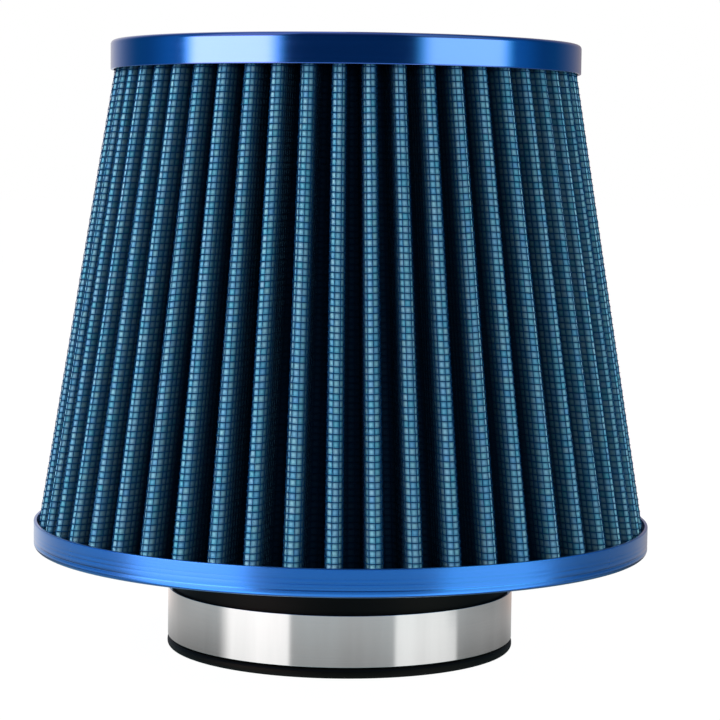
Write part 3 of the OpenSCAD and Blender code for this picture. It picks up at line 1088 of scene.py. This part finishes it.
clampShape = {
    "width": 12.0 * mm,
    "thick": 0.65 * mm,
    "radius": 41.65 * mm,  # inside of the band on the neck
    "tailRadius": 43.0 * mm,
    "fixedEnd": -12.84,  # degrees round from the back, where the strip starts under the saddle
    "rampFrom": 329.16,  # and where it climbs onto the saddle
    "rampTo": 344.16,
    "tailEnd": 405.0,
    "slotFrom": 351.16,
    "slotTo": 400.0,
    "slotPitch": 2.2 * mm,
    "slotWidth": 1.1 * mm,
    "slotLength": 7.5 * mm,
    "slotSlant": 5.0,
    "cornerCut": 1.7 * mm,
    "plainStep": 2.0,
    "edgeRow": 0.3 * mm,  # width of the faces along both edges
    "edge": 0.07 * mm,
}


def bandRadius(angle):  # middle of the strip's thickness
    low, high = clampShape["radius"], clampShape["tailRadius"]
    share = min(max((angle - clampShape["rampFrom"]) / (clampShape["rampTo"] - clampShape["rampFrom"]), 0), 1)
    return low + (high - low) * share * share * (3 - 2 * share) + clampShape["thick"] / 2


def makeBand():
    shape = clampShape
    low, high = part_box("clamp_saddle")
    middle = (low.z + high.z) / 2
    half, slotHalf = shape["width"] / 2, shape["slotLength"] / 2
    radius = shape["tailRadius"] + shape["thick"] / 2
    perMetre = math.degrees(1 / radius)
    slotSpan = shape["slotWidth"] / 2 * perMetre
    plainEnd = shape["slotFrom"] - 2 * slotSpan
    steps = round((plainEnd - shape["fixedEnd"]) / shape["plainStep"])
    plain = np.linspace(shape["fixedEnd"], plainEnd, steps)
    columns = [(angle, False, 0) for angle in plain]  # angle, whether a slot opens there, slant
    slotted = shape["slotTo"] - shape["slotFrom"]
    for i in range(int(slotted / (shape["slotPitch"] * perMetre)) + 1):
        centre = shape["slotFrom"] + i * shape["slotPitch"] * perMetre
        columns += [(centre - slotSpan, True, 1), (centre + slotSpan, False, 1)]
    cut = shape["cornerCut"]
    columns += [(shape["tailEnd"] - cut * perMetre, False, 0), (shape["tailEnd"], False, 0)]
    slant = math.tan(math.radians(shape["slotSlant"]))
    edgeRow, slotRow = shape["edgeRow"], 2
    verts, faces = [], []
    wasOpen = False
    for number, (angle, opens, slants) in enumerate(columns):
        edge = half - cut if number == len(columns) - 1 else half
        heights = (-edge, edgeRow - edge, -slotHalf, slotHalf, edge - edgeRow, edge)
        for height in heights:
            a = math.radians(angle + 90 + slants * slant * height * perMetre)
            r = bandRadius(angle)
            verts.append((r * math.cos(a), r * math.sin(a), middle + height))
        if number:
            here, before = len(heights) * number, len(heights) * (number - 1)
            for row in range(len(heights) - 1):
                if not (row == slotRow and wasOpen):
                    faces.append((before + row, here + row, here + row + 1, before + row + 1))
        wasOpen = opens
    mesh = newMesh("steel_band", verts, faces, finishes["strip"])
    mesh.shade_smooth()
    band = linked("steel_band", mesh)
    solid = band.modifiers.new("thickness", "SOLIDIFY")
    solid.thickness = shape["thick"]
    solid.offset = 0
    bevelEdges(band, shape["edge"], 2).harden_normals = True
    settled(band)
    declare(band, "clamp", "stainless_strip", "clamp_band")


def bevelEdges(piece, width, segments, sharpAngle=45):
    bevel = piece.modifiers.new("edges", "BEVEL")
    bevel.width = width
    bevel.segments = segments
    bevel.limit_method = "ANGLE"
    bevel.angle_limit = math.radians(sharpAngle)
    return bevel


housingShape = {
    "edge": 0.18 * mm,
    "edgeSteps": 3,
    "flatAngle": 2,  # degrees up to which neighbouring faces become one
}


def makeHousing():
    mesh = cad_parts["clamp_housing"].data.copy()
    bm = bmesh.new()
    bm.from_mesh(mesh)
    bmesh.ops.remove_doubles(bm, verts=bm.verts, dist=mergeDistance)
    flat = math.radians(housingShape["flatAngle"])
    bmesh.ops.dissolve_limit(bm, angle_limit=flat, verts=bm.verts, edges=bm.edges)
    bm.to_mesh(mesh)
    bm.free()
    recoat(mesh, finishes["strip"])
    mesh.shade_smooth()
    housing = linked("worm_housing", mesh)
    bevelEdges(housing, housingShape["edge"], housingShape["edgeSteps"]).harden_normals = True
    settled(housing)
    declare(housing, "clamp", "stainless_strip", "clamp_housing")


screwShape = {
    "core": 2.9 * mm,
    "crest": 3.96 * mm,
    "pitch": 2.2 * mm,
    "wormEnd": 5.4 * mm,
    "journal": 2.5 * mm,
    "washer": 1.2 * mm,
    "washerRadius": 4.34 * mm,
    "hexHalf": 3.5 * mm,  # half of the width across the flats
    "chamfer": 0.55 * mm,
    "slotWidth": 1.2 * mm,
    "slotDepth": 2.0 * mm,
    "tipChamfer": 0.2 * mm,
    "washerChamfers": (0.15 * mm, 0.3 * mm),  # below and above
    "root": 0.15 * mm,  # how far the thread reaches into the core
    "sink": 0.2 * mm,  # and the head into the washer face
    "edge": 0.1 * mm,
    "steps": 64,
    "helixSteps": 40,
    "sharpAngle": 30,
}


def threadTree():
    inputs = {"Turns": "Float", "Radius": "Float", "Height": "Float", "Tooth": "Float",
              "Material": "Material"}
    tree, flow, group, keys = newTree("wormThread", inputs)
    helix = flow.add("GeometryNodeCurveSpiral", {
        "Resolution": screwShape["helixSteps"], "Rotations": group.also("Turns"),
        "Start Radius": group.also("Radius"), "End Radius": group.also("Radius"),
        "Height": group.also("Height")})
    upright = flow.add("GeometryNodeSetCurveNormal", {"Curve": helix}, mode="Z_UP")
    endTree(flow, tubeAlong(flow, upright, 4, group.also("Tooth")), group)  # a tooth of four sides
    return tree, keys


def hexHead(low, high):  # chamfered, with a driver slot across it
    flats, chamfer, sixth = screwShape["hexHalf"], screwShape["chamfer"], math.pi / 3
    bm = bmesh.new()
    rings = []
    for radius, height in ((flats, low), (flats, high - chamfer), (flats - chamfer, high)):
        corner = radius / math.cos(math.pi / 6)
        rings.append([bm.verts.new((corner * math.cos(sixth * i), corner * math.sin(sixth * i), height))
                      for i in range(6)])
    for under, over in zip(rings, rings[1:]):
        for i in range(6):
            bm.faces.new((under[i], under[(i + 1) % 6], over[(i + 1) % 6], over[i]))
    bm.faces.new(rings[0][::-1])
    bm.faces.new(rings[-1])
    head = meshObject("hexHead", bm)
    cutter = bmesh.new()
    bmesh.ops.create_cube(cutter, size=1.0)
    depth = screwShape["slotDepth"]
    bmesh.ops.scale(cutter, verts=cutter.verts, vec=(screwShape["slotWidth"], 4 * flats, 2 * depth))
    bmesh.ops.translate(cutter, verts=cutter.verts, vec=(0, 0, high))
    blade = meshObject("slotCutter", cutter)
    cut = head.modifiers.new("slot", "BOOLEAN")
    cut.operation = "DIFFERENCE"
    cut.object = blade
    bevelEdges(head, screwShape["edge"], 2)
    settled(head)
    bpy.data.objects.remove(blade)
    return head


def meshObject(name, bm):
    mesh = bpy.data.meshes.new(name)
    bm.to_mesh(mesh)
    bm.free()
    return linked(name, mesh)


def makeScrew():
    shape = screwShape
    low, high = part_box("clamp_screw")
    worm, journal = shape["wormEnd"], shape["journal"]
    core, crest = shape["core"], shape["crest"]
    collar, washer = -low.x, shape["washerRadius"]
    top, tip = collar + shape["washer"], shape["tipChamfer"]
    under, over = shape["washerChamfers"]
    outline = [(0.0, low.x), (journal - tip, low.x), (journal, low.x + tip), (journal, -worm), (core, -worm),
               (core, worm), (journal, worm), (journal, collar), (washer - under, collar),
               (washer, collar + under), (washer, top - over), (washer - over, top), (0.0, top)]
    shank = turnOutline("shank", outline, shape["steps"], finishes["plated"], shape["sharpAngle"])
    tooth = (crest - core) / 2 + shape["root"]
    run = 2 * (worm - tooth)
    values = {"Turns": run / shape["pitch"], "Radius": crest - tooth, "Height": run, "Tooth": tooth,
              "Material": finishes["plated"]}
    thread = runTree(meshObject("thread", bmesh.new()), *threadTree(), values)
    head = hexHead(top - shape["sink"], high.x)
    whole = bmesh.new()
    whole.from_mesh(shank)
    for piece, up in ((thread, -run / 2), (head, 0.0)):
        piece.data.transform(Matrix.Translation((0, 0, up)))
        whole.from_mesh(piece.data)
        bpy.data.objects.remove(piece)
    screw = meshObject("worm_screw", whole)
    place = Matrix.Translation((0, (low.y + high.y) / 2, (low.z + high.z) / 2))
    screw.data.transform(place @ Matrix.Rotation(math.pi / 2, 4, "Y"))
    recoat(screw.data, finishes["plated"])
    smoothed(screw.data, shape["sharpAngle"])
    declare(screw, "screw", "plated_screw", "clamp_screw")


makeBand()
makeHousing()
makeScrew()
print("clamp made")


# solids that stay as they are, in new finishes

def dressNode(name, material):
    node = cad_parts[name]
    recoat(node.data, material)


dressNode("top_sealant", finishes["sealant"])
dressNode("base_sealant", finishes["sealant"])
dressNode("clamp_saddle", finishes["strip"])
